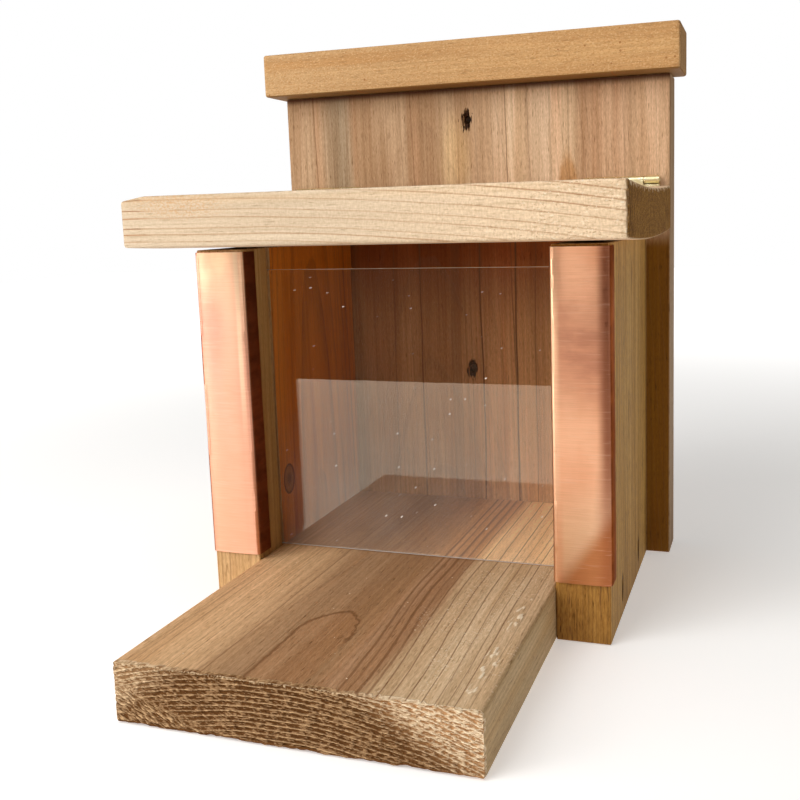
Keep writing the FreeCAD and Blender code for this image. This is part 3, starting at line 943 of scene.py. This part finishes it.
# The right strip is painted paler along its inner edge and low on the left, a painted reflection, and it is
# darker along its outer edge and low down: tarnish and painted reflection both
low_left = ramp(z, 75, 45) * ramp(x, 71, 75)
tarnish = ramp(2 * cloudy + x, ramp(z, 40, 90, 85.5, 88.9), 93.4) * ramp(z, 40, 90, 0.62, 0.95)
colour = paint(
    colour, (low_left, (1.0, 0.62, 0.38)), (between(x, 68, 72.6, 1.3), (1.0, 0.58, 0.35)),
    (tarnish, (0.37, 0.135, 0.07)),
)
low_corner = ramp(z - 1.36 * x, -66, -79) * ramp(x, 70, 72)
colour = mix(low_corner, colour, (0.7, 0.45, 0.29), "MULTIPLY")
# The flanges are darker: tarnish, and partly a painted reflection, since what they mirror is dark
sideways = axes(add_node("TexCoord").outputs["Normal"])[0]
left_fold = ramp(sideways, -0.25, -0.55, 0, 0.85) * left_strip
flange_tarnish_and_shade = mix(ramp(patch, 0.35, 0.65), (0.13, 0.04, 0.02), (0.24, 0.08, 0.035))
colour = paint(
    colour, (0.14 * scratch, (0.98, 0.66, 0.47)), (left_fold, (0.3, 0.11, 0.06)),
    (0.92 * ramp(abs(sideways), 0.7, 0.95), flange_tarnish_and_shade),
)
colour = tint(colour, warm_grey(ramp(brushed, 0.2, 0.8, 0.94, 1.04)))
ripple = mottle(here, 700, 2, (0.16, 0.16, 1))
feed(shader, Base_Color=colour, Roughness=ramp(cloudy, 0.3, 0.7, 0.3, 0.4))
feed(shader, Normal=relief(1.8 * ripple + brushed, 0.45, 0.06 * MM))
# Brushing across spreads the reflections up and down
feed(shader, Anisotropic=0.4, Tangent=take("CombineXYZ", {2: 1.0}))
for side in ("left", "right"):
    channel = make_channel(side + "_copper_channel", side + "_copper_edge")
    finish_piece(channel, copper, "box", side + "_copper_edge", 50)
finish_nodes(copper, ["copper_tacks"])

# Lid: a thick pale cedar board, cupped hollow side up as it dried. Its right end is splintered
# along the top, where the saw came out, and its front left corner is worn.
lid_low, lid_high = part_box("lid")
lid_cup = 2.2 * MM
lid_thickness = lid_high.z - lid_low.z - lid_cup
lid_steps = 48


def cup_height(share):
    """Height of the lid's lower face, from its front edge at 0 to its rear edge at 1."""
    return lid_low.z + lid_cup * (1 - 4 * share * (1 - share))


lid_middle_x = (lid_low.x + lid_high.x) / 2
lid = start_piece("lid_board", bpy.ops.mesh.primitive_plane_add, size=1,
                  location=(lid_middle_x, lid_low.y, cup_height(0) + lid_thickness / 2),
                  rotation=(math.radians(90), 0, 0), scale=(lid_high.x - lid_low.x, lid_thickness, 1))
bpy.ops.mesh.select_all(action="SELECT")
step = (lid_high.y - lid_low.y) / lid_steps
for index in range(lid_steps):
    drop = cup_height((index + 1) / lid_steps) - cup_height(index / lid_steps)
    draw_out(0, step, drop)
face_outward()
ease_edges(1.1 * MM)
slice_up((150, 1, 16))
wear(lid, 50 * MM, 0.15 * MM)


def worn_corner(co):
    """How near a point of the upper face is to the front left corner."""
    left = 1 - (co.x - lid_low.x) / (11 * MM)
    front = 1 - (co.y - lid_low.y) / (14 * MM)
    return left * front if left > 0 and front > 0 and co.z > lid_high.z - 8 * MM else 0


wear(lid, 300 * MM, 4.0 * MM, "Z", mark(lid, "worn_corner", worn_corner))
nicked = mark(lid, "nicked", lambda co: co.x > lid_high.x - 0.9 * MM and co.y < lid_low.y + 0.9 * MM)
wear(lid, 1.8 * MM, 0.5 * MM, "X", nicked, 1, (2, 1))


def rim_height(y):
    """Height of the lid's upper face, which is as hollow as its lower face is round."""
    return cup_height((y - lid_low.y) / (lid_high.y - lid_low.y)) + lid_thickness


for y, half_width, deep in (
    (-43, 0.9, 1.2), (-38, 0.7, 2.0), (-33, 1.0, 1.3), (-29, 0.6, 2.4), (-24, 0.9, 1.6), (-19, 0.7, 2.2),
    (-13, 1.1, 1.4), (-6, 0.7, 2.6), (0, 1.0, 1.5), (7, 0.8, 2.2), (14, 1.1, 1.3), (22, 0.8, 2.4),
    (31, 1.2, 1.5), (41, 0.9, 2.1), (53, 1.2, 1.4), (66, 1.0, 2.2), (80, 1.2, 1.4),
):
    tear_out(lid, (lid_high.x, y * MM, rim_height(y * MM)), (2.6 * MM, half_width * MM, deep * MM), "X")
lid_cedar, shader, place, facing, wood = start_cedar(
    "lid_cedar", "X", Seed=5, Heart=(0.02, 0.08, 0), Lean=(0, -0.068, 0), Bow=(0, -0.32, 0),
    Ring=1.3 * MM, Drift=0.9 * MM, Crisp=0.7, Line=0.12, Fibre=0.75, End_Ridge=0.2,
    Latewood=(0.5, 0.3, 0.15), End_Torn=3.4,
)
front = lid_low.y / MM
left = lid_low.x / MM
y, z, x = measure(place)
facing_x = axes(facing)[2]
pale = mix(ramp(x, -30, 90), (0.705, 0.555, 0.39), (0.83, 0.62, 0.408))
feed(wood, Pale=pale, Deep=tint(pale, (0.94, 0.91, 0.88)), Stain=tint(pale, (0.95, 0.88, 0.79)))
# The right end is painted darker than the left: painted shade, for the end that stands away from the lamps
right_end = ramp(facing_x, -0.5, 0.5)
feed(wood, End_Pale=mix(right_end, (0.6, 0.4, 0.2), (0.43, 0.21, 0.035)),
     End_Deep=mix(right_end, (0.34, 0.19, 0.075), (0.16, 0.062, 0.007)))
# The year lines run level on the left, and fall away more and more to the right
right_of = larger(x + 70, 0.0)
inwards = y - front
year = 0.00043 * right_of * right_of + z + inwards * (0.002 * inwards + 0.5)
year = year + waver(place, 70, 1.6)
lines = growth_lines(year, (
    (172.1, 0.15, 0.75), (175, 0.2, 1), (177.5, 0.15, 0.85), (181.6, 0.2, 0.85), (184.8, 0.15, 0.85),
    (189.1, 0.15, 0.85), (193, 0.2, 0.95), (196.5, 0.2, 0.95), (200.1, 0.2, 0.95),
))
# Above the last of them they repeat evenly
beyond = year - 202
line_spacing = 3.4
repeated = between(reckon("FRACT", beyond / line_spacing), 0.45, 0.55, 0.09)
repeated = repeated * reckon("GREATER_THAN", beyond, 0.0)
on_end = ramp(abs(facing_x), 0.4, 0.8)
lines = larger(lines, 0.65 * repeated) * ramp(mottle(place, 80, 3, (1, 1, 0.2)), 0.3, 0.6, 0.7, 1.0)
lines = lines * ramp(x, left + 8, left + 16, 1.3, 0.7) * ramp(x, 0.0, 70, 1.0, 1.4)
lines = lines * (1.0 - 0.6 * on_end)
# Orange mottling towards the upper left, and fuzz from the saw, most on the right
warm = ramp(mottle(place, 1200, 4, (1, 1, 0.7)), 0.44, 0.62)
warm = 0.6 * warm * spot(place, (front, 187, -78), (30, 5, 19), 0.7)
cracks = growth_lines(year, ((189.1, 0.12, 1), (184.8, 0.1, 0.8), (177.5, 0.12, 1)))
cracks = cracks * ramp(x, left + 8, left + 11, 0.8, 0)
colour = paint(
    wood.outputs["Color"], (lines, (0.42, 0.19, 0.075)), (warm, (0.62, 0.33, 0.14)),
    (cracks, (0.2, 0.09, 0.035)),
)
tick = (mottle(place, 1300, 4, (0.4, 0.45, 1)) - 0.5) * ramp(x, -90, 90, 0.2, 0.6)
colour = tint(colour, warm_grey(tick + 1.0))
tuft = mottle(place, 800, 2, (1, 1.6, 0.8), (4, 1, 2))
sown = ramp(x, 0.0, 85) * ramp(mottle(place, 130, 2), 0.42, 0.6, 0.15, 0.65) * (1.0 - on_end)
colour = paint(
    colour, (ramp(tuft, 0.6, 0.66) * sown, (0.96, 0.84, 0.66)),
    (ramp(tuft, 0.4, 0.35) * sown, (0.45, 0.25, 0.12)),
)
# The ends are streaked up and down by the saw
streak = ramp(mottle(place, 650, 3, (1, 0.22, 1)), 0.3, 0.7, -0.35, 0.3)
streak = streak + ramp(inwards, 0.0, 25, -0.2, 0.05)
colour = tint(colour, warm_grey(on_end * streak + 1.0))
share = inwards * MM / (lid_high.y - lid_low.y)
below_rim = (lid_high.z - 4 * lid_cup * share * (1.0 - share)) / MM - z
below_rim = 12 * (mottle(place, 500, 2, (1, 0.3, 1)) - 0.5) + below_rim
fringe = ramp(below_rim, 0.7, 0.2) * ramp(facing_x, 0.4, 0.8)
fringe = fringe * ramp(mottle(place, 110, 1), 0.4, 0.6, 0.2, 0.8)
colour = mix(fringe, colour, (0.85, 0.66, 0.42))
finish_cedar(shader, wood, colour)
finish_piece(lid, lid_cedar, "lid", "lid")

# Hinges: two brass butt hinges between the lid's rear edge and the back board, each with its
# two leaves, its pin and four countersunk screws.
brass, shader = new_material("plated_brass")
here = add_node("TexCoord").outputs["Object"]
tarnish = mottle(here, 350, 3)
feed(shader, Base_Color=mix(ramp(tarnish, 0.4, 0.7), (0.98, 0.92, 0.62), (0.9, 0.8, 0.46)), Metallic=1.0,
     Roughness=ramp(tarnish, 0.3, 0.7, 0.24, 0.38), Normal=relief(mottle(here, 1800), 0.3, 0.03 * MM))
for side in ("left_", "right_"):
    finish_nodes(brass, [side + part for part in ("back_leaf", "lid_leaf", "hinge_pin")])
finish_nodes(brass, ["back_leaf_screws", "lid_leaf_screws"])

# Nails: plain steel, through the side panels, the back board and the cap strip. They are driven
# a little below the wood and have gone dull.
steel, shader = new_material("nail_steel")
rust = mottle(add_node("TexCoord").outputs["Object"], 900, 3)
feed(shader, Base_Color=mix(ramp(rust, 0.35, 0.65), (0.3, 0.29, 0.28), (0.2, 0.17, 0.15)), Metallic=1.0,
     Roughness=ramp(rust, 0.3, 0.7, 0.4, 0.6))
finish_nodes(steel, ["floor_nails", "back_nails", "cap_nails"])

# Studio: a plain pale floor that glows a little, as a lit table does, a large soft window lamp
# low on the left, a soft lamp above it, a weaker one overhead, a small one in front that the
# copper mirrors, and a faint even light all round.
bpy.ops.object.select_all(action="DESELECT")
floor_front = -0.56
floor_back = 2.6
bpy.ops.mesh.primitive_plane_add(size=1, location=(0, (floor_front + floor_back) / 2, -0.0002))
ground = bpy.context.object
ground.name = "studio_floor"
ground.scale = (4.4, floor_back - floor_front, 1)
bpy.ops.object.transform_apply(location=True, rotation=True, scale=True)
pale, shader = new_material("pale_floor")
here = add_node("TexCoord").outputs["Object"]
glow = ramp(take("VectorMath", {0: here}, "Value", operation="LENGTH"), 0.3, 1.3, 0.33, 0.95)
glow = take("CombineColor", {part: glow for part in range(3)})
feed(shader, Base_Color=(0.95, 0.95, 0.94), Roughness=0.6, Emission_Color=glow, Emission_Strength=1.0)
ground.data.materials.append(pale)


def aim_lamp(name, azimuth, elevation, distance, size, watts, target=(0, 0, 0.12)):
    """A square soft lamp that faces a target. Azimuth 0 is in front, and goes round to the right."""
    lamp = bpy.data.objects.new(name, bpy.data.lights.new(name, "AREA"))
    bpy.context.scene.collection.objects.link(lamp)
    lamp.data.size = size
    lamp.data.energy = watts
    lamp.visible_camera = False
    across, up = math.radians(azimuth), math.radians(elevation)
    away = Vector((math.sin(across) * math.cos(up), -math.cos(across) * math.cos(up), math.sin(up)))
    lamp.location = Vector(target) + away * distance
    lamp.rotation_euler = away.to_track_quat("Z", "Y").to_euler()


aim_lamp("window_lamp", -52, 14, 1.3, 0.8, 8)
aim_lamp("key_lamp", -32, 40, 1.3, 0.9, 9)
aim_lamp("overhead_lamp", 10, 80, 1.6, 1.2, 5)
aim_lamp("front_lamp", -6.7, 4, 1.2, 0.18, 0.4)
world = bpy.data.worlds.new("studio_light")
bpy.context.scene.world = world
world.use_nodes = True
tree = world.node_tree
# Things are lit by the first colour, mirror the second, and stand before the third
sky = tree.nodes["Background"]
feed(sky, Color=(1.0, 0.96, 0.9), Strength=0.2)
mirrored = take("Background", {"Color": (0.85, 0.5, 0.27), "Strength": 0.13})
shown = take("Background", {"Color": (1, 1, 1), "Strength": 1.0})
ray = add_node("LightPath").outputs
sky = take("MixShader", {0: ray["Is Glossy Ray"], 1: sky.outputs[0], 2: mirrored})
sky = take("MixShader", {0: ray["Is Camera Ray"], 1: sky, 2: shown})
feed(tree.nodes["World Output"], Surface=sky)
bpy.context.scene.view_settings.view_transform = "Standard"

# Camera: it stands where the photograph was taken from, a little above the lid and to the right,
# and its picture is shifted as the photograph's is.
camera = bpy.data.objects.new("camera", bpy.data.cameras.new("camera"))
bpy.context.scene.collection.objects.link(camera)
camera.data.sensor_width = 36
camera.data.lens = 43.27
camera.data.shift_x = -0.0782
camera.data.shift_y = -0.0628
yaw, pitch, roll = (math.radians(angle) for angle in (18.041, -8.026, 1.638))
turn = Matrix.Rotation(yaw, 4, "Z") @ Matrix.Rotation(pitch, 4, "X") @ Matrix.Rotation(roll, 4, "Y")
turn = turn @ Matrix.Rotation(math.radians(90), 4, "X")
camera.matrix_world = Matrix.Translation(Vector((155.32, -394.54, 179.9)) * MM) @ turn
bpy.context.scene.camera = camera
